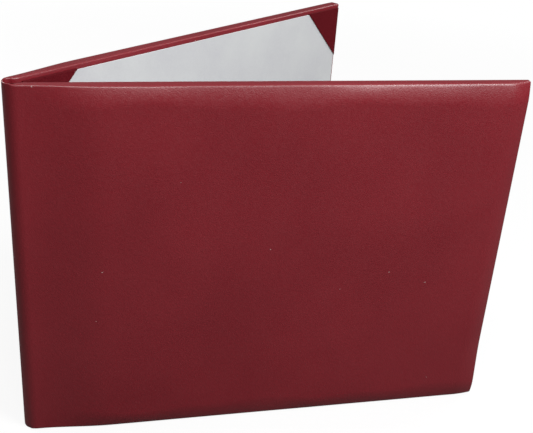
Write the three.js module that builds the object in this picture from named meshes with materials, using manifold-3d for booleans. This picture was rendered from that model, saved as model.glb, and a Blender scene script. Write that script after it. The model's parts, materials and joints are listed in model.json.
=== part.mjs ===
// Padded diploma cover in leatherette, landscape, standing part open on its bottom edges.
// Millimetres, +Z up. The spine is towards -X and the covers open towards +X, with the front
// cover on the -Y side and the back cover on the +Y side. The origin is the middle of the
// footprint, on the surface that the cover stands on.

import * as THREE from 'three';
import { mergeVertices } from 'three/addons/utils/BufferGeometryUtils.js';
import Module from 'manifold-3d';

const wasm = await Module();
wasm.setup();

// Whole cover
const coverHeight = 232; // bottom edge to top edge
const coverReach = 301.5; // from where the spine starts to curve to the fore-edge
const spineStrip = 21; // sheet across the spine, measured round its curve
const restOpening = 37.5; // degrees between the two covers as it stands

// Thickness of each material
const leather = 0.5; // leatherette sheet
const board = 2.0; // chipboard
const lining = 0.35; // thin leatherette of the hinge strip and the corner holders
const liner = 0.6; // lined card panel inside each cover
const seat = 0.1; // gap between layers that lie on each other

// Foam under the leatherette, thinner where the sheet is pulled down over the board
const foamCrown = 5.9; // over most of the cover
const foamAtSpine = 1.7;
const foamAtEnds = 4.4; // along the top and bottom edges
const foamAtFore = 1.8; // along the fore-edge
const cornerPinch = 0.85; // share of the foam that the two fore-edge corners lose
const spineRise = 60; // how far from the spine the pad reaches its full thickness
const endRoll = 12; // width of the soft slope at the top and bottom edges
const foreRoll = 14; // width of the soft slope at the fore-edge
const foamInset = 3; // from the board's edges to the foam's

// Edges and turn-ins
const foldRadius = 1.0; // where the sheet folds over the board
const turnIn = 15; // width of sheet glued to the board's inner face
const mitreSlit = 0.3; // between the two turn-ins that meet at a corner
const boardStart = 2.6; // from the start of the spine's curve to the board
const hingeSlit = 0.5; // sheet split at a hinge line
const liningSlit = 1.4; // hinge strip split at a hinge line

// Inside of the covers
const linerMargin = 3.0; // leatherette showing round the liner
const linerStart = 5.6; // from the start of the spine's curve to the liner
const liningLap = 5; // hinge strip tucked under the liner
const holderLeg = 37; // short side of a corner holder
const holderFlap = 12; // holder folded under the liner
const paperRoom = 0.25; // under a corner holder, for the certificate

// Sizes that follow from those above
const halfOpening = THREE.MathUtils.degToRad(restOpening / 2);
const halfArc = Math.PI / 2 - halfOpening;
const spineRadius = spineStrip / 2 / halfArc;
const halfHeight = coverHeight / 2;
const hingeLine = -spineStrip / 4;
const sheetStart = hingeLine + hingeSlit / 2;
const bendEnd = boardStart - leather;
const hollowStart = THREE.MathUtils.lerp(sheetStart, bendEnd, 0.3);
const hardStack = leather + seat + board + seat;
const spineThickness = hardStack + foamAtSpine + seat + leather;
const innerFace = -spineThickness;
const boardInner = innerFace + leather + seat;
const foamBase = innerFace + hardStack;
const liningBase = innerFace - seat;
const linerBase = liningBase - lining - seat;
const linerFace = linerBase - liner;

const leatherette = new THREE.MeshStandardMaterial({ color: 0x6e2028, roughness: 0.5, metalness: 0 });
const thinLeatherette = new THREE.MeshStandardMaterial({ color: 0x641c24, roughness: 0.55, metalness: 0 });
const chipboard = new THREE.MeshStandardMaterial({ color: 0x9c8a70, roughness: 0.95, metalness: 0 });
const foam = new THREE.MeshStandardMaterial({ color: 0xe6e3da, roughness: 0.95, metalness: 0 });
const linedCard = new THREE.MeshStandardMaterial({ color: 0xd2d5d4, roughness: 0.8, metalness: 0 });

// The leatherette is one sheet, flat over a cover and curved round the spine. A place on it is
// s along the sheet from the start of the spine's curve, z from the middle of the height, and
// n out from the face of the sheet at the spine. The spine's centre line is the local Z axis.
function onSheet(s, z, n) {
  const radius = spineRadius + n;
  if (s >= 0) return [s, radius, z];
  const angle = -s / spineRadius;
  return [-radius * Math.sin(angle), radius * Math.cos(angle), z];
}

function smoothStep(value) {
  const t = THREE.MathUtils.clamp(value, 0, 1);
  return t * t * (3 - 2 * t);
}

// How far a soft slope has fallen at a distance from the edge: 1 at the edge, 0 past its width.
function slopeFall(distance, width) {
  const t = Math.max(0, 1 - distance / width);
  return t * t;
}

// How far a fold of the sheet has turned down at a distance from the edge.
function foldDrop(distance, radius) {
  const t = THREE.MathUtils.clamp(1 - distance / radius, 0, 1);
  return radius * (1 - Math.sqrt(1 - t * t));
}

function foamThickness(s, z) {
  const endFall = slopeFall(halfHeight - Math.abs(z), endRoll);
  const foreFall = slopeFall(coverReach - s, foreRoll);
  const ends = 1 - (1 - foamAtEnds / foamCrown) * endFall;
  const fore = 1 - (1 - foamAtFore / foamCrown) * foreFall;
  const pad = foamCrown * ends * fore * (1 - cornerPinch * endFall * foreFall);
  return THREE.MathUtils.lerp(foamAtSpine, pad, smoothStep(s / spineRise));
}

// Whole thickness from the sheet's face to the turn-ins: two sheets at the spine, all the layers
// on the board, and a smooth change between them.
function innerDepth(s) {
  const share = smoothStep((s - sheetStart) / (bendEnd - sheetStart));
  return THREE.MathUtils.lerp(2 * leather, spineThickness, share);
}

function padFace(s, z) {
  return s <= 0 ? 0 : foamThickness(s, z) - foamAtSpine;
}

function edgeDrop(s, z) {
  const radius = Math.min(foldRadius, innerDepth(s) / 2);
  const atEnds = foldDrop(halfHeight - Math.abs(z), radius);
  const atFore = foldDrop(coverReach - s, radius);
  return Math.max(atEnds, atFore);
}

// Lines that a surface is drawn on, closer together where it bends.
const slopeSteps = [0.2, 0.4, 0.65, 1];
const foldSteps = [0, 0.3, 1];

function evenLines(from, to, count) {
  return Array.from({ length: count + 1 }, (_, i) => from + ((to - from) * i) / count);
}

function edgeLines(width) {
  const folds = foldSteps.map((share) => share * foldRadius);
  const slopes = slopeSteps.map((share) => foldRadius + share * (width - foldRadius));
  return [...folds, ...slopes];
}

const curveLines = evenLines(sheetStart, 0, 5);
const riseLines = evenLines(0, spineRise, 6);
const foreLines = edgeLines(foreRoll).map((distance) => coverReach - distance);
const endLines = edgeLines(endRoll).map((distance) => halfHeight - distance);
const bendLines = evenLines(hollowStart, bendEnd, 3);
const coverLines = [...curveLines, ...bendLines, ...riseLines, ...foreLines];
const heightLines = [...endLines, ...endLines.map((z) => -z)];
const foldLines = endLines.slice(0, foldSteps.length);
const spineHeightLines = [...foldLines, ...foldLines.map((z) => -z)];

// The given lines that lie inside a stretch, in order, with the stretch's two ends.
function within(lines, from, to) {
  const closest = 0.05;
  const inside = lines.filter((value) => value > from + closest && value < to - closest);
  const ordered = [from, ...inside.sort((a, b) => a - b), to];
  return ordered.filter((value, i) => i === 0 || value - ordered[i - 1] > closest / 2);
}

// Closed layer of the sheet between two distances n, each a function of s and z.
function layer(sLines, zLines, low, high) {
  const positions = [];
  for (const face of [low, high]) {
    for (const s of sLines) {
      for (const z of zLines) positions.push(...onSheet(s, z, face(s, z)));
    }
  }
  const rows = sLines.length;
  const columns = zLines.length;
  const indices = [];
  const at = (side, i, j) => (side * rows + i) * columns + j;
  const quad = (a, b, c, d) => indices.push(a, b, c, a, c, d);
  for (let i = 0; i < rows - 1; i += 1) {
    for (let j = 0; j < columns - 1; j += 1) {
      quad(at(0, i, j), at(0, i + 1, j), at(0, i + 1, j + 1), at(0, i, j + 1));
      quad(at(1, i, j), at(1, i, j + 1), at(1, i + 1, j + 1), at(1, i + 1, j));
    }
    const last = columns - 1;
    quad(at(0, i, 0), at(1, i, 0), at(1, i + 1, 0), at(0, i + 1, 0));
    quad(at(0, i, last), at(0, i + 1, last), at(1, i + 1, last), at(1, i, last));
  }
  for (let j = 0; j < columns - 1; j += 1) {
    const last = rows - 1;
    quad(at(0, 0, j), at(0, 0, j + 1), at(1, 0, j + 1), at(1, 0, j));
    quad(at(0, last, j), at(1, last, j), at(1, last, j + 1), at(0, last, j + 1));
  }
  const geometry = new THREE.BufferGeometry();
  geometry.setAttribute('position', new THREE.Float32BufferAttribute(positions, 3));
  geometry.setIndex(indices);
  return geometry;
}

// Flat plate with an outline in s and z, from the distance n down to a lower one.
function plate(points, high, low) {
  const outline = new THREE.Shape(points.map(([s, z]) => new THREE.Vector2(s, z)));
  const geometry = new THREE.ExtrudeGeometry(outline, { depth: high - low, bevelEnabled: false });
  geometry.rotateX(Math.PI / 2);
  geometry.translate(0, spineRadius + high, 0);
  return geometry;
}

function rectangle(sFrom, sTo, zFrom, zTo) {
  return [[sFrom, zFrom], [sTo, zFrom], [sTo, zTo], [sFrom, zTo]];
}

function toSolid(geometry) {
  const bare = geometry.clone();
  bare.deleteAttribute('normal');
  bare.deleteAttribute('uv');
  const merged = mergeVertices(bare);
  return new wasm.Manifold(new wasm.Mesh({
    numProp: 3,
    vertProperties: new Float32Array(merged.attributes.position.array),
    triVerts: new Uint32Array(merged.index.array),
  }));
}

function toGeometry(solid) {
  const mesh = solid.getMesh();
  const geometry = new THREE.BufferGeometry();
  geometry.setAttribute('position', new THREE.BufferAttribute(mesh.vertProperties, 3));
  geometry.setIndex(new THREE.BufferAttribute(mesh.triVerts, 1));
  return geometry;
}

function cutAway(geometry, ...cutters) {
  const solid = cutters.reduce((left, cutter) => left.subtract(toSolid(cutter)), toSolid(geometry));
  return toGeometry(solid);
}

function piece(name, geometry, material) {
  const faceted = geometry.index ? geometry.toNonIndexed() : geometry;
  faceted.computeVertexNormals();
  const mesh = new THREE.Mesh(faceted, material);
  mesh.name = name;
  return mesh;
}

// Sheet over one cover: padded face, folds over the board's edges, mitred turn-ins on its inner
// face, and its half of the curve towards the spine.
function coverSheet() {
  const sLines = within(coverLines, sheetStart, coverReach);
  const zLines = within(heightLines, -halfHeight, halfHeight);
  const whole = layer(
    sLines,
    zLines,
    (s, z) => edgeDrop(s, z) - innerDepth(s),
    (s, z) => padFace(s, z) - edgeDrop(s, z),
  );
  const hollow = layer(
    within(coverLines, hollowStart, coverReach - leather),
    within(heightLines, leather - halfHeight, halfHeight - leather),
    (s) => leather - innerDepth(s),
    (s, z) => padFace(s, z) - leather,
  );
  const past = 1;
  const window = layer(
    within(coverLines, sheetStart - past, coverReach - turnIn),
    [turnIn - halfHeight, halfHeight - turnIn],
    (s) => -innerDepth(s) - past,
    () => -leather,
  );
  return cutAway(whole, hollow, window, mitreCut(1), mitreCut(-1));
}

// Slit between the turn-ins of the fore-edge and of the top edge, or of the bottom edge.
function mitreCut(side) {
  const first = 2 * foldRadius;
  const last = turnIn + 1;
  const points = [
    [coverReach - first, halfHeight - first - mitreSlit],
    [coverReach - first, halfHeight - first + mitreSlit],
    [coverReach - last, halfHeight - last + mitreSlit],
    [coverReach - last, halfHeight - last - mitreSlit],
  ];
  const overcut = 0.05;
  return plate(points.map(([s, z]) => [s, side * z]), innerFace + leather + overcut, innerFace - 1);
}

function foamPad() {
  const edge = leather + seat + foamInset;
  return layer(
    within(coverLines, boardStart + foamInset, coverReach - edge),
    within(heightLines, edge - halfHeight, halfHeight - edge),
    () => foamBase,
    (s, z) => foamBase + foamThickness(s, z),
  );
}

function coverBoard() {
  const edge = leather + seat;
  const outline = rectangle(boardStart, coverReach - edge, edge - halfHeight, halfHeight - edge);
  return plate(outline, boardInner + board, boardInner);
}

function linerPanel() {
  const top = halfHeight - linerMargin;
  return plate(rectangle(linerStart, coverReach - linerMargin, -top, top), linerBase, linerFace);
}

// Strip that lines the hinge, from the spine over the board's edge to under the liner. Beside a
// corner holder it stops short of the holder's folded edge.
function hingeLining(besideHolders) {
  const top = halfHeight - linerMargin;
  const sLines = within(coverLines, hingeLine + liningSlit / 2, linerStart + liningLap);
  const whole = layer(
    sLines,
    [-top, top],
    (s) => -innerDepth(s) - seat - lining,
    (s) => -innerDepth(s) - seat,
  );
  if (!besideHolders) return whole;
  const notchStart = linerStart - 2 * seat - lining;
  const notchEnd = linerStart + liningLap + 1;
  const notchLow = top - holderLeg - 2 * seat - lining;
  const notch = (side) => {
    const points = rectangle(notchStart, notchEnd, notchLow, top + 1);
    return plate(points.map(([s, z]) => [s, side * z]), liningBase + 1, liningBase - lining - 1);
  };
  return cutAway(whole, notch(1), notch(-1));
}

// Corner holder: a thin triangle over a corner of the liner, folded round the liner's two edges
// and under it. The corner is the liner's, and the two signs point from it into the liner.
function cornerHolder(cornerS, cornerZ, towardsS, towardsZ) {
  const wall = seat + lining;
  const place = ([s, z]) => [cornerS + towardsS * s, cornerZ + towardsZ * z];
  const triangle = (from, leg) => [[from, from], [from + leg, from], [from, from + leg]].map(place);
  const face = linerFace - paperRoom;
  const outside = plate(triangle(-wall, holderLeg + wall), liningBase, face - lining);
  const room = plate(triangle(-seat, 2 * holderLeg), linerBase + seat, face);
  const underside = plate(triangle(holderFlap, 2 * holderLeg), liningBase + 1, linerBase);
  return cutAway(outside, room, underside);
}

function cornerHolders() {
  const top = halfHeight - linerMargin;
  const fore = coverReach - linerMargin;
  return [
    piece('corner_holder_top_spine', cornerHolder(linerStart, top, 1, -1), thinLeatherette),
    piece('corner_holder_bottom_spine', cornerHolder(linerStart, -top, 1, 1), thinLeatherette),
    piece('corner_holder_top_fore', cornerHolder(fore, top, -1, -1), thinLeatherette),
    piece('corner_holder_bottom_fore', cornerHolder(fore, -top, -1, 1), thinLeatherette),
  ];
}

// One cover with its layers, turned to its side of the opening.
function makeCover(side, holdsCertificate) {
  const cover = new THREE.Group();
  cover.add(piece(`${side}_leatherette`, coverSheet(), leatherette));
  cover.add(piece(`${side}_foam_pad`, foamPad(), foam));
  cover.add(piece(`${side}_board`, coverBoard(), chipboard));
  cover.add(piece(`${side}_liner`, linerPanel(), linedCard));
  cover.add(piece(`${side}_hinge_lining`, hingeLining(holdsCertificate), thinLeatherette));
  if (holdsCertificate) cover.add(...cornerHolders());
  cover.rotation.z = halfOpening;
  return cover;
}

// Middle of the spine, between the two hinge lines: the sheet, doubled where it is turned in at
// the head and tail, and the strip that lines it.
function makeSpine() {
  const middle = -spineStrip / 2;
  const half = spineStrip / 4 - hingeSlit / 2;
  const arcSteps = 10;
  const sheetLines = evenLines(middle - half, middle + half, arcSteps);
  const zLines = within(spineHeightLines, -halfHeight, halfHeight);
  const whole = layer(
    sheetLines,
    zLines,
    (s, z) => foldDrop(halfHeight - Math.abs(z), leather) - 2 * leather,
    (s, z) => -foldDrop(halfHeight - Math.abs(z), leather),
  );
  const past = 1;
  const window = layer(
    evenLines(middle - half - past, middle + half + past, arcSteps + 2),
    [turnIn - halfHeight, halfHeight - turnIn],
    () => -2 * leather - past,
    () => -leather,
  );
  const liningHalf = spineStrip / 4 - liningSlit / 2;
  const top = halfHeight - linerMargin;
  const strip = layer(
    evenLines(middle - liningHalf, middle + liningHalf, arcSteps),
    [-top, top],
    () => -2 * leather - seat - lining,
    () => -2 * leather - seat,
  );
  const spine = new THREE.Group();
  spine.add(piece('spine_leatherette', cutAway(whole, window), leatherette));
  spine.add(piece('spine_lining', strip, thinLeatherette));
  spine.rotation.z = halfOpening;
  return spine;
}

// The front cover is the back one turned over about the X axis, without the corner holders.
const frontCover = new THREE.Group();
frontCover.add(makeCover('front', false));
frontCover.rotation.x = Math.PI;

const diplomaCover = new THREE.Group();
diplomaCover.add(makeCover('back', true), makeSpine(), frontCover);

// Stand it on the ground, with the middle of its footprint over the origin.
diplomaCover.updateMatrixWorld(true);
const extent = new THREE.Box3().setFromObject(diplomaCover, true);
diplomaCover.position.set(-(extent.min.x + extent.max.x) / 2, 0, halfHeight);
diplomaCover.updateMatrixWorld(true);

export default diplomaCover;
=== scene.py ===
"""Looks of a padded leatherette diploma cover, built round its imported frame.

Sizes of the cover are in millimetres and turn into metres where vertices are made. The studio's
are in metres. A place on the leatherette sheet is s along it from the start of the spine's curve,
z up from the middle of the height, and n out from the face of the sheet at the spine.
"""

import json
import math

import bmesh
import bpy
from mathutils import Matrix, Vector


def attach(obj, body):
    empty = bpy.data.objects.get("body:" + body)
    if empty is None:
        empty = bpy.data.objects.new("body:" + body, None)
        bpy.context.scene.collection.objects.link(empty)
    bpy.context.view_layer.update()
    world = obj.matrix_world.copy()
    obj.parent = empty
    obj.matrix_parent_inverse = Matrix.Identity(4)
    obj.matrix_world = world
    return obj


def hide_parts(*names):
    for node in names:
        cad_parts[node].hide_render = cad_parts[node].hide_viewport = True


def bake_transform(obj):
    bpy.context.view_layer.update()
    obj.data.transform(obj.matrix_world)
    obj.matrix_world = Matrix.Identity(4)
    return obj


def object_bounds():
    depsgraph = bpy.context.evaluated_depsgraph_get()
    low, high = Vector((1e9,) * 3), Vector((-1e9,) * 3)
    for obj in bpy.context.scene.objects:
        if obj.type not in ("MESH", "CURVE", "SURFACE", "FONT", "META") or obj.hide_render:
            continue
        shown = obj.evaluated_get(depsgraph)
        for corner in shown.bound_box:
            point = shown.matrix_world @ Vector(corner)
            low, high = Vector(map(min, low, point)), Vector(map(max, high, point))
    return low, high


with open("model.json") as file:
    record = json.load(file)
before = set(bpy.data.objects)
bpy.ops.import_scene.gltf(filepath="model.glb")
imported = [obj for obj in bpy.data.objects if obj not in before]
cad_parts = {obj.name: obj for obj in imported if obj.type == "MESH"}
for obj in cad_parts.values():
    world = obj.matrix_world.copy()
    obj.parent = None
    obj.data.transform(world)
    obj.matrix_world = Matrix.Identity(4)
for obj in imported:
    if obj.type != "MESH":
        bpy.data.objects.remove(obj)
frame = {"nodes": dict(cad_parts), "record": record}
cad_low, cad_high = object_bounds()

METRES = 0.001
BACK = 1
FRONT = -1
COVER_BODY = {BACK: "back_cover", FRONT: "front_cover"}
SIDE_NAME = {BACK: "back", FRONT: "front"}

# Cover, as in the frame
cover_height = 232.0
cover_reach = 301.5
spine_strip = 21.0
rest_opening = 37.5
leather = 0.5
board = 2.0
lining = 0.35
seat = 0.1
foam_at_spine = 1.7
fore_roll = 14.0
turn_in = 15.0
mitre_slit = 0.3
hinge_slit = 0.5
board_start = 2.6
liner_margin = 3.0
liner_start = 5.6
lining_lap = 5.0
holder_leg = 37.0

# Padding and folds, fuller and softer than the frame's solids
leather_shell = 0.42
foam_crown = 7.2
foam_at_ends = 4.3
foam_at_fore = 2.2
spine_rise = 46.0
end_roll = 13.0
fold_radius = 1.15

# Sizes that follow from those above
half_opening = math.radians(rest_opening / 2)
half_arc = math.pi / 2 - half_opening
spine_radius = spine_strip / 2 / half_arc
half_height = cover_height / 2
spine_middle = -spine_strip / 2
hinge_line = -spine_strip / 4
bend_start = hinge_line + hinge_slit / 2
bend_end = board_start - leather
spine_thickness = leather + seat + board + seat + foam_at_spine + seat + leather
spine_x = cad_low.x / METRES + spine_radius

# The fore-edge corners, top and bottom: how much of the slope to the fore-edge reaches into each,
# the share of the foam that each loses besides, and how far it reaches from the top or bottom edge
TOP = 1
BOTTOM = -1
corner_slope = {(FRONT, TOP): 1.0, (FRONT, BOTTOM): 0.5, (BACK, TOP): 0.15, (BACK, BOTTOM): 0.5}
corner_pinch = {(FRONT, TOP): 0.7, (FRONT, BOTTOM): 0.0, (BACK, TOP): 0.0, (BACK, BOTTOM): 0.0}
corner_stretch = 46.0

# Soft slopes of the padding, and its unevenness: how deep each wave is, and how long along the
# sheet and up it
slope_power = 1.8
edge_wave = 1.6
edge_wave_long = 21
edge_wave_short = 9.5
face_wave = 0.16
face_wave_along = 43
face_wave_up = 37
small_wave_along = 17
small_wave_up = 23
wave_fade = 20
edge_wave_phase = {BACK: 4.1, FRONT: 1.3}
face_wave_phase = {BACK: 3.2, FRONT: 0.7}

# Creases at the head and tail of the spine
tuck_depth = 0.28
tuck_middle = spine_middle * 0.55
tuck_width = 1.6
tuck_length = 5.0

# Lips of the mitred turn-ins
lip_height = 0.4
lip_width = 1.1
lip_length = 3.2
lip_fade = 2

# Spacing of the points of the sheet and the hinge strip, closer together where they bend
fold_steps = 6
wall_steps = 8
spine_spacing = 0.6
rise_spacing = 2.5
face_spacing = 3.2
fore_spacing = 0.9
end_spacing = 0.8
turn_in_spacing = 1.2
strip_spacing = 12
strip_steps = 40
slope_margin_fore = 4
slope_margin_end = 6
notch_edge = 0.05

# Cleaning and finishing of meshes. Areas are in square metres
sheet_merge = 0.004
solid_merge = 0.005
empty_area = 1e-14
cut_edge_angle = math.radians(60)
bevel_angle = math.radians(30)
flat_angle = math.radians(1)
flat_face_area = 4e-5
liner_rounding = 0.2
holder_rounding = 0.14
rounding_segments = 3


def clamp(value, low=0.0, high=1.0):
    return max(low, min(high, value))


def mix(a, b, share):
    return a + (b - a) * share


def smooth_step(value):
    t = clamp(value)
    return t * t * (3 - 2 * t)


def slope_fall(distance, width):
    """1 at an edge of the pad, falling to 0 at the width of the soft slope."""
    return max(0.0, 1 - distance / width) ** slope_power


def place(side, s, z, n):
    """A point of the sheet in the row frame, in metres."""
    radius = spine_radius + n
    if s >= 0:
        x, y = s, radius
    else:
        angle = -s / spine_radius
        x, y = -radius * math.sin(angle), radius * math.cos(angle)
    turned_x = x * math.cos(half_opening) - y * math.sin(half_opening)
    turned_y = x * math.sin(half_opening) + y * math.cos(half_opening)
    return Vector((spine_x + turned_x, side * turned_y, half_height + z)) * METRES


def inner_depth(s):
    """How far the inner face lies behind the face of the sheet at the spine."""
    share = smooth_step((s - bend_start) / (bend_end - bend_start))
    return mix(2 * leather, spine_thickness, share)


def roll_width(side, s, z):
    """The soft slope's width wanders a little along the edge."""
    phase = edge_wave_phase[side]
    shift = 1 if z > 0 else 2
    wander = math.sin(s / edge_wave_long + phase)
    wander += 0.6 * math.sin(s / edge_wave_short + 2 * phase + shift)
    return end_roll + edge_wave * wander


def pad_face(side, s, z):
    """How far the padded face stands out from the face of the sheet at the spine."""
    if s <= 0:
        return 0.0
    end_fall = slope_fall(half_height - abs(z), roll_width(side, s, z))
    corner = (side, TOP if z > 0 else BOTTOM)
    near_corner = smooth_step(1 - (half_height - abs(z)) / corner_stretch)
    fore_fall = slope_fall(cover_reach - s, fore_roll)
    fore_fall *= mix(1, corner_slope[corner], near_corner)
    ends = 1 - (1 - foam_at_ends / foam_crown) * end_fall
    fore = 1 - (1 - foam_at_fore / foam_crown) * fore_fall
    pad = foam_crown * ends * fore * (1 - corner_pinch[corner] * end_fall * fore_fall)
    phase = face_wave_phase[side]
    ripple = math.sin(s / face_wave_along + phase) * math.sin(z / face_wave_up + 2 * phase)
    ripple += 0.5 * math.sin(s / small_wave_along + z / small_wave_up + phase)
    inside = smooth_step((half_height - abs(z)) / wave_fade)
    inside *= smooth_step((cover_reach - s) / wave_fade)
    pad += face_wave * ripple * inside
    return mix(foam_at_spine, pad, smooth_step(s / spine_rise)) - foam_at_spine


def fold_at(s):
    """Radius of the folds, which is smaller where the sheet is folded on itself at the spine."""
    return min(fold_radius, inner_depth(s) / 2)


def rounded(s, z):
    """Rounds the folds at the edges: the place in plan, and how far the sheet has turned down."""
    radius = fold_at(s)
    across = clamp((abs(z) - (half_height - radius)) / radius)
    along = clamp((s - (cover_reach - radius)) / radius)
    u = across * math.sqrt(1 - along * along / 2)
    v = along * math.sqrt(1 - across * across / 2)
    turned = clamp(u * u + v * v)
    drop = radius * (1 - math.sqrt(1 - turned))
    plan_z = z if across == 0 else math.copysign(half_height - radius + radius * u, z)
    plan_s = s if along == 0 else cover_reach - radius + radius * v
    return plan_s, plan_z, drop


def spaced(start, end, step):
    """Even values from start to end, about a step apart."""
    count = max(1, round(abs(end - start) / step))
    return [mix(start, end, i / count) for i in range(count + 1)]


def joined(*runs):
    """Runs of values end to end, where each run starts with the last value of the one before."""
    values = list(runs[0])
    for run in runs[1:]:
        values += run[1:]
    return values


fold_shares = [1 - math.sin(math.pi / 2 * i / fold_steps) for i in range(fold_steps + 1)]


def sheet_lines_along():
    """Places s from the middle of the spine to the fore-edge, closer together where it bends."""
    slope_start = cover_reach - fore_roll - slope_margin_fore
    spine = spaced(spine_middle, 0, spine_spacing)
    rise = spaced(0, spine_rise, rise_spacing)
    middle = spaced(spine_rise, slope_start, face_spacing)
    slope = spaced(slope_start, cover_reach - fold_radius, fore_spacing)
    fold = [cover_reach - share * fold_radius for share in fold_shares]
    return joined(spine, rise, middle, slope, fold)


def sheet_lines_across():
    """Lines across the sheet from the bottom edge up, each a sign, a kind and a value."""
    inner = end_roll + slope_margin_end
    edge = [("fold", share) for share in reversed(fold_shares)]
    edge += [("flat", d) for d in spaced(fold_radius, inner, end_spacing)[1:]]
    lower = [(BOTTOM, kind, value) for kind, value in edge]
    span = half_height - inner
    middle = [(TOP, "level", z) for z in spaced(-span, span, face_spacing)[1:-1]]
    upper = [(TOP, kind, value) for kind, value in reversed(edge)]
    return lower + middle + upper


def height_of(line, s):
    """Height above the middle of the cover of a line across the sheet, at a place along it."""
    sign, kind, value = line
    if kind == "level":
        return value
    if kind == "fold":
        return sign * (half_height - value * fold_at(s))
    return sign * (half_height - value)


def spine_tuck(s, z, length):
    """Creases where the sheet is tucked in at the head and tail of the spine."""
    near_end = smooth_step(1 - (half_height - abs(z)) / length)
    pinch = math.exp(-((s - tuck_middle) / tuck_width) ** 2)
    return -tuck_depth * near_end * pinch


def face_point(side, s, line):
    z = height_of(line, s)
    plan_s, plan_z, drop = rounded(s, z)
    n = pad_face(side, s, z) - drop + spine_tuck(s, z, tuck_length)
    return place(side, plan_s, plan_z, n)


def mitre_lip(s, z):
    """The two turn-ins stand up a little where they meet at a corner."""
    from_fore = cover_reach - s
    from_end = half_height - abs(z)
    across = (from_fore - from_end) / lip_width
    shown = smooth_step((lip_length - max(from_fore, from_end)) / lip_fade)
    started = smooth_step(min(from_fore, from_end) / fold_radius)
    return lip_height * math.exp(-across * across) * shown * started


def turn_profile():
    """Steps down the edge and over the inner face: what kind, and how far along it."""
    wall = [("wall", i / wall_steps) for i in range(wall_steps + 1)]
    fold = [("fold", share) for share in fold_shares[-2::-1]]
    flat = [("flat", d) for d in spaced(fold_radius, turn_in, turn_in_spacing)[1:]]
    return wall + fold + flat


def turn_point(side, s, z, edge_s, edge_z, kind, value):
    """A point of a turn-in. edge_s and edge_z give where its wall starts on the outer face."""
    outer_drop = rounded(edge_s, edge_z)[2]
    tuck = spine_tuck(edge_s, edge_z, tuck_length)
    start = pad_face(side, edge_s, edge_z) - outer_drop + tuck
    radius = fold_at(s)
    if kind == "wall":
        plan_s, plan_z, _ = rounded(edge_s, edge_z)
        end = -inner_depth(edge_s) + radius + tuck
        return place(side, plan_s, plan_z, mix(start, end, value))
    plan_s, plan_z, drop = rounded(s, z)
    n = -inner_depth(s) + drop - mitre_lip(s, z) + spine_tuck(s, z, liner_margin)
    return place(side, plan_s, plan_z, n)


def inward(kind, value, s):
    """Distance from the outer edge of a step of the turn-in."""
    if kind == "wall":
        return 0.0
    if kind == "fold":
        return value * fold_at(s)
    return value


def slit_at(distance):
    """Half the slit between two turn-ins, which opens from nothing at the outer corner."""
    return mitre_slit / 2 * clamp(distance / fold_radius)


def add_grid(bm, rows, flip):
    """Joins rows of points into quads."""
    made = [[bm.verts.new(point) for point in row] for row in rows]
    for below, above in zip(made, made[1:]):
        for i in range(len(below) - 1):
            corners = [below[i], above[i], above[i + 1], below[i + 1]]
            if flip:
                corners.reverse()
            bm.faces.new(corners)


def finished_mesh(bm, name, material):
    bmesh.ops.remove_doubles(bm, verts=bm.verts, dist=sheet_merge * METRES)
    empty = [face for face in bm.faces if face.calc_area() < empty_area]
    if empty:
        bmesh.ops.delete(bm, geom=empty, context="FACES_ONLY")
    mesh = bpy.data.meshes.new(name)
    bm.to_mesh(mesh)
    bm.free()
    for polygon in mesh.polygons:
        polygon.use_smooth = True
    mesh.materials.append(material)
    obj = bpy.data.objects.new(name, mesh)
    bpy.context.scene.collection.objects.link(obj)
    return obj


def apply_modifiers(obj):
    graph = bpy.context.evaluated_depsgraph_get()
    baked = bpy.data.meshes.new_from_object(obj.evaluated_get(graph))
    obj.modifiers.clear()
    obj.data = baked


def make_shell(obj, thickness):
    """Gives a sheet its thickness on the inside, and keeps its cut edges crisp."""
    shell = obj.modifiers.new("shell", "SOLIDIFY")
    shell.thickness = thickness * METRES
    shell.offset = -1
    shell.use_even_offset = False
    apply_modifiers(obj)
    obj.data.set_sharp_from_angle(angle=cut_edge_angle)


def blend_over_spine(obj):
    """Bakes the sheet's place and turn into its mesh."""
    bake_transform(obj)


def make_sheet(side, material):
    """Leatherette over one cover and its half of the spine, folded round the edges."""
    along = sheet_lines_along()
    across = sheet_lines_across()
    back = side == BACK
    bm = bmesh.new()
    face = [[face_point(side, s, line) for s in along] for line in across]
    add_grid(bm, face, not back)

    first, last = along[0], along[-1]
    shares = [(s - first) / (last - first) for s in along]
    for sign in (TOP, BOTTOM):
        rows = []
        for kind, value in turn_profile():
            row = []
            for share in shares:
                edge_s = mix(first, last, share)
                distance = inward(kind, value, edge_s)
                end = last - distance - slit_at(distance)
                s = mix(first, end, share)
                distance = inward(kind, value, s)
                z = sign * (half_height - distance)
                row.append(turn_point(side, s, z, edge_s, sign * half_height, kind, value))
            rows.append(row)
        add_grid(bm, rows, back if sign == BOTTOM else not back)

    rows = []
    for kind, value in turn_profile():
        distance = inward(kind, value, cover_reach)
        reach = half_height - distance - slit_at(distance)
        row = []
        for line in across:
            edge_z = height_of(line, cover_reach)
            z = edge_z / half_height * reach
            s = cover_reach - distance
            row.append(turn_point(side, s, z, cover_reach, edge_z, kind, value))
        rows.append(row)
    add_grid(bm, rows, back)

    name = f"{SIDE_NAME[side]}_sheet"
    sheet = finished_mesh(bm, name, material)
    make_shell(sheet, leather_shell)
    blend_over_spine(sheet)
    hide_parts(f"{SIDE_NAME[side]}_leatherette", "spine_leatherette")
    return sheet


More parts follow.
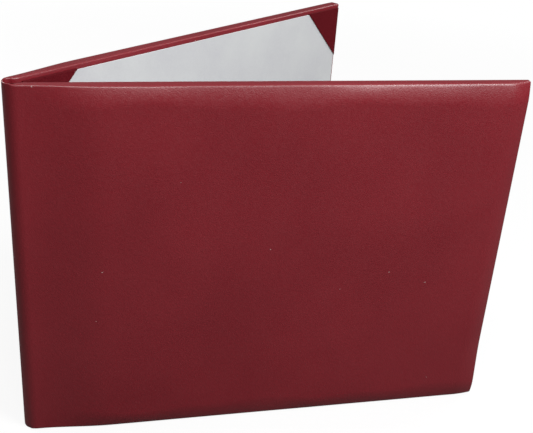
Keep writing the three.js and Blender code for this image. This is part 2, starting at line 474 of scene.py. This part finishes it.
def make_hinge_lining(side, material):
    """Half of the strip that lines the hinge, from the middle of the spine to under the liner.

    It stops short of the liner beside the two corner holders, with a steep edge at each notch.
    """
    top = half_height - liner_margin
    end = liner_start + lining_lap
    beside_holder = liner_start - 2 * seat - lining
    holder_low = top - holder_leg - 2 * seat - lining
    if side == BACK:
        levels = joined(
            spaced(-top, -holder_low - notch_edge, strip_spacing),
            spaced(-holder_low - notch_edge, -holder_low + notch_edge, 1),
            spaced(-holder_low + notch_edge, holder_low - notch_edge, strip_spacing),
            spaced(holder_low - notch_edge, holder_low + notch_edge, 1),
            spaced(holder_low + notch_edge, top, strip_spacing),
        )
    else:
        levels = spaced(-top, top, strip_spacing)
    shares = [i / strip_steps for i in range(strip_steps + 1)]
    rows = []
    for z in levels:
        stop = beside_holder if side == BACK and abs(z) > holder_low else end
        along = [mix(spine_middle, stop, share) for share in shares]
        rows.append([place(side, s, z, -inner_depth(s) - seat - lining) for s in along])
    bm = bmesh.new()
    add_grid(bm, rows, side == BACK)
    strip = finished_mesh(bm, f"{SIDE_NAME[side]}_hinge_strip", material)
    make_shell(strip, lining)
    blend_over_spine(strip)
    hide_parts(f"{SIDE_NAME[side]}_hinge_lining", "spine_lining")
    return strip


def soft_edged_copy(node, name, body, material, width):
    """A CAD node's own shape with its edges rounded."""
    mesh = frame["nodes"][node].data.copy()
    bm = bmesh.new()
    bm.from_mesh(mesh)
    bmesh.ops.remove_doubles(bm, verts=bm.verts, dist=solid_merge * METRES)
    bmesh.ops.dissolve_limit(bm, angle_limit=flat_angle, verts=bm.verts, edges=bm.edges)
    bm.to_mesh(mesh)
    bm.free()
    mesh.materials.clear()
    mesh.materials.append(material)
    copy = bpy.data.objects.new(name, mesh)
    bpy.context.scene.collection.objects.link(copy)
    rounding = copy.modifiers.new("rounding", "BEVEL")
    rounding.width = width * METRES
    rounding.segments = rounding_segments
    rounding.limit_method = "ANGLE"
    rounding.angle_limit = bevel_angle
    rounding.harden_normals = False
    apply_modifiers(copy)
    for polygon in copy.data.polygons:
        polygon.use_smooth = polygon.area < flat_face_area
    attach(copy, body)
    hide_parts(node)
    return copy


# Materials: scales of their patterns, in cells per metre
cloud_scale = 14
patch_scale = 60
speck_scale = 70
mottle_scale = 480
grain_scale = 1500
blotch_scale = 28
card_wear_scale = 120
fibre_scale = 900
chip_scale = 420
foam_hole_scale = 1300

# Depths of the surface patterns, in millimetres
grain_depth = 0.14
fibre_depth = 0.03
chip_depth = 0.08
foam_hole_depth = 0.15

# Dust on the leatherette: radius of a speck as a share of its cell, the random number above which
# a cell has one, and how pale it is
speck_size = 0.028
speck_chance = 0.5
speck_strength = 0.55
speck_colour = (0.62, 0.5, 0.48)

# Pale ridges of the grain, and the thin clear coat over it
ridge_colour = (0.34, 0.045, 0.055)
ridge_share = 0.16
coat_roughness = 0.23


class Nodes:
    """Short calls for building one material's node tree."""

    def __init__(self, name):
        self.material = bpy.data.materials.new(name)
        self.material.use_nodes = True
        self.tree = self.material.node_tree
        self.shader = self.tree.nodes["Principled BSDF"]
        self.place = self.tree.nodes.new("ShaderNodeTexCoord").outputs["Object"]

    def link(self, source, target):
        self.tree.links.new(source, target)

    def noise(self, scale, detail=2.0, roughness=0.5):
        node = self.tree.nodes.new("ShaderNodeTexNoise")
        node.inputs["Scale"].default_value = scale
        node.inputs["Detail"].default_value = detail
        node.inputs["Roughness"].default_value = roughness
        self.link(self.place, node.inputs["Vector"])
        return node.outputs["Fac"]

    def cells(self, scale):
        node = self.tree.nodes.new("ShaderNodeTexVoronoi")
        node.feature = "F1"
        node.inputs["Scale"].default_value = scale
        self.link(self.place, node.inputs["Vector"])
        return node.outputs

    def range(self, source, from_low, from_high, to_low, to_high):
        node = self.tree.nodes.new("ShaderNodeMapRange")
        node.inputs["From Min"].default_value = from_low
        node.inputs["From Max"].default_value = from_high
        node.inputs["To Min"].default_value = to_low
        node.inputs["To Max"].default_value = to_high
        self.link(source, node.inputs["Value"])
        return node.outputs["Result"]

    def math(self, operation, a, b):
        node = self.tree.nodes.new("ShaderNodeMath")
        node.operation = operation
        for socket, value in zip(node.inputs, (a, b)):
            if isinstance(value, (int, float)):
                socket.default_value = value
            else:
                self.link(value, socket)
        return node.outputs["Value"]

    def colours(self, share, first, second):
        node = self.tree.nodes.new("ShaderNodeMix")
        node.data_type = "RGBA"
        sockets = [socket for socket in node.inputs if socket.type == "RGBA"]
        for socket, value in zip(sockets, (first, second)):
            if isinstance(value, tuple):
                socket.default_value = (*value, 1)
            else:
                self.link(value, socket)
        factor = next(s for s in node.inputs if s.type == "VALUE")
        if isinstance(share, (int, float)):
            factor.default_value = share
        else:
            self.link(share, factor)
        return next(s for s in node.outputs if s.type == "RGBA")

    def bump(self, height, distance, strength=1.0):
        node = self.tree.nodes.new("ShaderNodeBump")
        node.inputs["Distance"].default_value = distance * METRES
        node.inputs["Strength"].default_value = strength
        self.link(height, node.inputs["Height"])
        self.link(node.outputs["Normal"], self.shader.inputs["Normal"])

    def colour(self, source):
        self.link(source, self.shader.inputs["Base Color"])

    def roughness(self, source):
        self.link(source, self.shader.inputs["Roughness"])

    def set(self, **values):
        for name, value in values.items():
            self.shader.inputs[name.replace("_", " ")].default_value = value


def leatherette_material(name, deep, light, roughness, shine, coat):
    """Satin burgundy leatherette with a very fine grain and a little pale dust."""
    nodes = Nodes(name)
    cloud = nodes.range(nodes.noise(cloud_scale, 3), 0.35, 0.65, 0, 1)
    body = nodes.colours(cloud, deep, light)
    grain = nodes.noise(grain_scale, 3, 0.6)
    fine = nodes.range(grain, 0.35, 0.68, 0, ridge_share)
    body = nodes.colours(fine, body, ridge_colour)
    specks = nodes.cells(speck_scale)
    near = nodes.math("LESS_THAN", specks["Distance"], speck_size)
    chance = nodes.tree.nodes.new("ShaderNodeSeparateColor")
    nodes.link(specks["Color"], chance.inputs["Color"])
    rare = nodes.math("GREATER_THAN", chance.outputs["Red"], speck_chance)
    dust = nodes.math("MULTIPLY", nodes.math("MULTIPLY", near, rare), speck_strength)
    nodes.colour(nodes.colours(dust, body, speck_colour))
    pores = nodes.cells(grain_scale)["Distance"]
    mottle = nodes.noise(mottle_scale, 2)
    patchy = nodes.range(nodes.noise(patch_scale, 3), 0.3, 0.7, roughness - 0.04, roughness + 0.03)
    nodes.roughness(nodes.math("ADD", patchy, nodes.range(mottle, 0.35, 0.65, -0.05, 0.05)))
    pore_height = nodes.math("MULTIPLY", pores, 0.6)
    height = nodes.math("ADD", pore_height, nodes.math("MULTIPLY", grain, 0.8))
    height = nodes.math("ADD", height, nodes.math("MULTIPLY", mottle, 0.7))
    nodes.bump(height, grain_depth, 0.85)
    nodes.set(Specular_IOR_Level=shine, Coat_Weight=coat, Coat_Roughness=coat_roughness)
    return nodes.material


def liner_material():
    """Pale cool grey lined card, slightly blotchy."""
    nodes = Nodes("liner_card")
    blotch = nodes.range(nodes.noise(blotch_scale, 4, 0.6), 0.3, 0.7, 0, 1)
    body = nodes.colours(blotch, (0.462, 0.465, 0.484), (0.515, 0.526, 0.529))
    fibre = nodes.noise(fibre_scale, 3, 0.7)
    body = nodes.colours(nodes.range(fibre, 0.35, 0.65, 0, 0.25), body, (0.57, 0.575, 0.58))
    nodes.colour(body)
    nodes.roughness(nodes.range(nodes.noise(card_wear_scale), 0.3, 0.7, 0.72, 0.86))
    nodes.bump(fibre, fibre_depth, 0.4)
    nodes.set(Specular_IOR_Level=0.25)
    return nodes.material


def chipboard_material():
    nodes = Nodes("chipboard")
    chips = nodes.range(nodes.noise(chip_scale, 4, 0.7), 0.3, 0.7, 0, 1)
    nodes.colour(nodes.colours(chips, (0.27, 0.21, 0.13), (0.40, 0.32, 0.22)))
    nodes.roughness(nodes.range(chips, 0, 1, 0.85, 0.97))
    nodes.bump(chips, chip_depth, 0.5)
    return nodes.material


def foam_material():
    nodes = Nodes("foam")
    holes = nodes.cells(foam_hole_scale)["Distance"]
    tone = nodes.range(holes, 0, 0.6, 0, 1)
    nodes.colour(nodes.colours(tone, (0.62, 0.58, 0.50), (0.82, 0.80, 0.74)))
    nodes.roughness(nodes.range(tone, 0, 1, 0.9, 0.98))
    nodes.bump(holes, foam_hole_depth, 0.7)
    return nodes.material


leatherette = leatherette_material(
    "leatherette",
    deep=(0.154, 0.0055, 0.0115),
    light=(0.176, 0.0080, 0.0145),
    roughness=0.44,
    shine=0.44,
    coat=0.42,
)
# Thin leatherette for the hinge strips and corner holders: the same leatherette with less shine.
# Its darker colour is painted shade of the holders inside the open cover.
thin_leatherette = leatherette_material(
    "thin_leatherette",
    deep=(0.068, 0.001, 0.004),
    light=(0.08, 0.002, 0.005),
    roughness=0.5,
    shine=0.1,
    coat=0.0,
)
liner_card = liner_material()
chipboard = chipboard_material()
foam = foam_material()

# Pieces
for side in (BACK, FRONT):
    make_sheet(side, leatherette)
    make_hinge_lining(side, thin_leatherette)
    node = f"{SIDE_NAME[side]}_liner"
    name = f"{node}_panel"
    soft_edged_copy(node, name, COVER_BODY[side], liner_card, liner_rounding)
for corner in ("top_spine", "bottom_spine", "top_fore", "bottom_fore"):
    soft_edged_copy(
        f"corner_holder_{corner}",
        f"corner_holder_{corner}_folded",
        "back_cover",
        thin_leatherette,
        holder_rounding,
    )


def dress_node(node, material):
    obj = frame["nodes"][node]
    obj.data.materials.clear()
    obj.data.materials.append(material)


# Every solid carried over from the frame gets the material of its slot
material_of_slot = {
    "leatherette": leatherette,
    "thin_leatherette": thin_leatherette,
    "liner_card": liner_card,
    "chipboard": chipboard,
    "foam": foam,
}
for subpart in frame["record"]["subparts"]:
    dress_node(subpart["node"], material_of_slot[subpart["material_slot"]])


# Studio. The camera sees a white background. Gloss sees only a small share of it, because all of it
# washes out the satin red, and light off the floor is kept low. The sky's brightness rises between
# two heights on it, from 0 at the horizon to 1 overhead.
white_in_gloss = 0.03
white_near_cover = 0.86
white_fade_start = 0.3
white_fade_end = 1.2
floor_seen = 0.8
floor_to_cover = 0.09
floor_reach = 3.0
floor_drop = 0.0002
sky_at_horizon = 0.05
sky_at_top = 0.24
sky_rise_start = 0.2
sky_rise_end = 0.8


def share_of_white(tree, to_camera, to_gloss):
    """How much of plain white a ray meets, by kind of ray. Rays through glass meet all of it."""
    rays = tree.nodes.new("ShaderNodeLightPath").outputs
    share = None
    for ray, weight in (
        ("Is Camera Ray", to_camera),
        ("Is Glossy Ray", to_gloss),
        ("Is Transmission Ray", 1.0),
    ):
        weighted = tree.nodes.new("ShaderNodeMath")
        weighted.operation = "MULTIPLY"
        if isinstance(weight, float):
            weighted.inputs[1].default_value = weight
        else:
            tree.links.new(weight, weighted.inputs[1])
        tree.links.new(rays[ray], weighted.inputs[0])
        if share is None:
            share = weighted.outputs["Value"]
            continue
        either = tree.nodes.new("ShaderNodeMath")
        either.operation = "MAXIMUM"
        tree.links.new(share, either.inputs[0])
        tree.links.new(weighted.outputs["Value"], either.inputs[1])
        share = either.outputs["Value"]
    return share


def far_white(tree):
    """The floor keeps a shadow near the cover and fades to plain white far from it."""
    place_on_floor = tree.nodes.new("ShaderNodeTexCoord").outputs["Object"]
    length = tree.nodes.new("ShaderNodeVectorMath")
    length.operation = "LENGTH"
    tree.links.new(place_on_floor, length.inputs[0])
    fade = tree.nodes.new("ShaderNodeMapRange")
    fade.inputs["From Min"].default_value = white_fade_start
    fade.inputs["From Max"].default_value = white_fade_end
    fade.inputs["To Min"].default_value = white_near_cover
    fade.inputs["To Max"].default_value = 1.0
    tree.links.new(length.outputs["Value"], fade.inputs["Value"])
    return fade.outputs["Result"]


def floor_material():
    """Floor that the camera sees white with a weak shadow, and that throws little light back."""
    material = bpy.data.materials.new("floor")
    material.use_nodes = True
    tree = material.node_tree
    plain = tree.nodes["Principled BSDF"]
    seen = tree.nodes.new("ShaderNodeMapRange")
    seen.inputs["To Min"].default_value = floor_to_cover
    seen.inputs["To Max"].default_value = floor_seen
    rays = tree.nodes.new("ShaderNodeLightPath").outputs
    tree.links.new(rays["Is Camera Ray"], seen.inputs["Value"])
    tree.links.new(seen.outputs["Result"], plain.inputs["Base Color"])
    plain.inputs["Roughness"].default_value = 1.0
    plain.inputs["Specular IOR Level"].default_value = 0.0
    white = tree.nodes.new("ShaderNodeEmission")
    white.inputs["Color"].default_value = (1, 1, 1, 1)
    white.inputs["Strength"].default_value = 1.0
    mixer = tree.nodes.new("ShaderNodeMixShader")
    share = share_of_white(tree, far_white(tree), white_in_gloss)
    tree.links.new(share, mixer.inputs["Fac"])
    tree.links.new(plain.outputs["BSDF"], mixer.inputs[1])
    tree.links.new(white.outputs["Emission"], mixer.inputs[2])
    tree.links.new(mixer.outputs["Shader"], tree.nodes["Material Output"].inputs["Surface"])
    return material


def make_floor():
    bm = bmesh.new()
    reach = floor_reach
    corners = [(-reach, -reach), (reach, -reach), (reach, reach), (-reach, reach)]
    bm.faces.new([bm.verts.new((x, y, -floor_drop)) for x, y in corners])
    mesh = bpy.data.meshes.new("floor")
    bm.to_mesh(mesh)
    bm.free()
    mesh.materials.append(floor_material())
    floor = bpy.data.objects.new("floor", mesh)
    bpy.context.scene.collection.objects.link(floor)


def make_world():
    """A dim sky, darker towards the horizon, that the camera sees as plain white."""
    world = bpy.data.worlds.new("studio")
    bpy.context.scene.world = world
    world.use_nodes = True
    tree = world.node_tree
    dim = tree.nodes["Background"]
    dim.inputs["Color"].default_value = (1, 1, 1, 1)
    direction = tree.nodes.new("ShaderNodeTexCoord").outputs["Generated"]
    parts = tree.nodes.new("ShaderNodeSeparateXYZ")
    tree.links.new(direction, parts.inputs["Vector"])
    rise = tree.nodes.new("ShaderNodeMapRange")
    rise.inputs["From Min"].default_value = sky_rise_start
    rise.inputs["From Max"].default_value = sky_rise_end
    rise.inputs["To Min"].default_value = sky_at_horizon
    rise.inputs["To Max"].default_value = sky_at_top
    tree.links.new(parts.outputs["Z"], rise.inputs["Value"])
    tree.links.new(rise.outputs["Result"], dim.inputs["Strength"])
    white = tree.nodes.new("ShaderNodeBackground")
    white.inputs["Color"].default_value = (1, 1, 1, 1)
    white.inputs["Strength"].default_value = 1.0
    mixer = tree.nodes.new("ShaderNodeMixShader")
    tree.links.new(share_of_white(tree, 1.0, white_in_gloss), mixer.inputs["Fac"])
    tree.links.new(dim.outputs["Background"], mixer.inputs[1])
    tree.links.new(white.outputs["Background"], mixer.inputs[2])
    tree.links.new(mixer.outputs["Shader"], tree.nodes["World Output"].inputs["Surface"])


def make_lamp(name, position, target, width, depth, watts):
    """A flat lamp turned to its target."""
    data = bpy.data.lights.new(name, "AREA")
    data.shape = "RECTANGLE"
    data.size = width
    data.size_y = depth
    data.energy = watts
    lamp = bpy.data.objects.new(name, data)
    lamp.location = position
    lamp.rotation_euler = (Vector(target) - Vector(position)).to_track_quat("-Z", "Y").to_euler()
    bpy.context.scene.collection.objects.link(lamp)


make_floor()
make_world()

# Lamps: name, place, target, width, depth and watts
middle_of_cover = (0.0, 0.0, 0.12)
upper_cover = (0.0, 0.0, 0.15)
head_of_spine = (-0.05, 0.0, 0.20)
lamps = (
    ("high_front", (0.26, -0.60, 0.93), upper_cover, 0.34, 0.26, 5.8),
    ("low_front", (0.32, -0.84, 0.70), upper_cover, 0.50, 0.26, 4.7),
    ("high_left", (-0.33, -0.58, 0.88), head_of_spine, 0.40, 0.07, 4.4),
    ("high_back", (-0.62, 0.85, 0.80), middle_of_cover, 0.6, 0.5, 4.4),
    ("low_back", (-0.35, 1.05, 0.55), middle_of_cover, 0.5, 0.4, 3.6),
    ("high_right", (1.0, 0.05, 0.75), upper_cover, 0.3, 0.3, 2.5),
)
for lamp in lamps:
    make_lamp(*lamp)

# Camera at the photo's viewpoint, in metres and degrees
camera_place = (-0.27030, -0.45958, 0.38739)
camera_turn = math.radians(-33.026)
camera_down = math.radians(26.336)
camera_roll = math.radians(4.166)
focal_pixels = 888.9
photo_pixels = 533
sensor = 36.0

camera_data = bpy.data.cameras.new("camera")
camera_data.sensor_width = sensor
camera_data.sensor_fit = "HORIZONTAL"
camera_data.lens = focal_pixels / photo_pixels * sensor
camera_data.clip_start = 0.01
camera = bpy.data.objects.new("camera", camera_data)
camera.matrix_world = (
    Matrix.Translation(camera_place)
    @ Matrix.Rotation(camera_turn, 4, "Z")
    @ Matrix.Rotation(math.pi / 2 - camera_down, 4, "X")
    @ Matrix.Rotation(camera_roll, 4, "Z")
)
bpy.context.scene.collection.objects.link(camera)
bpy.context.scene.camera = camera
bpy.context.scene.view_settings.view_transform = "Standard"
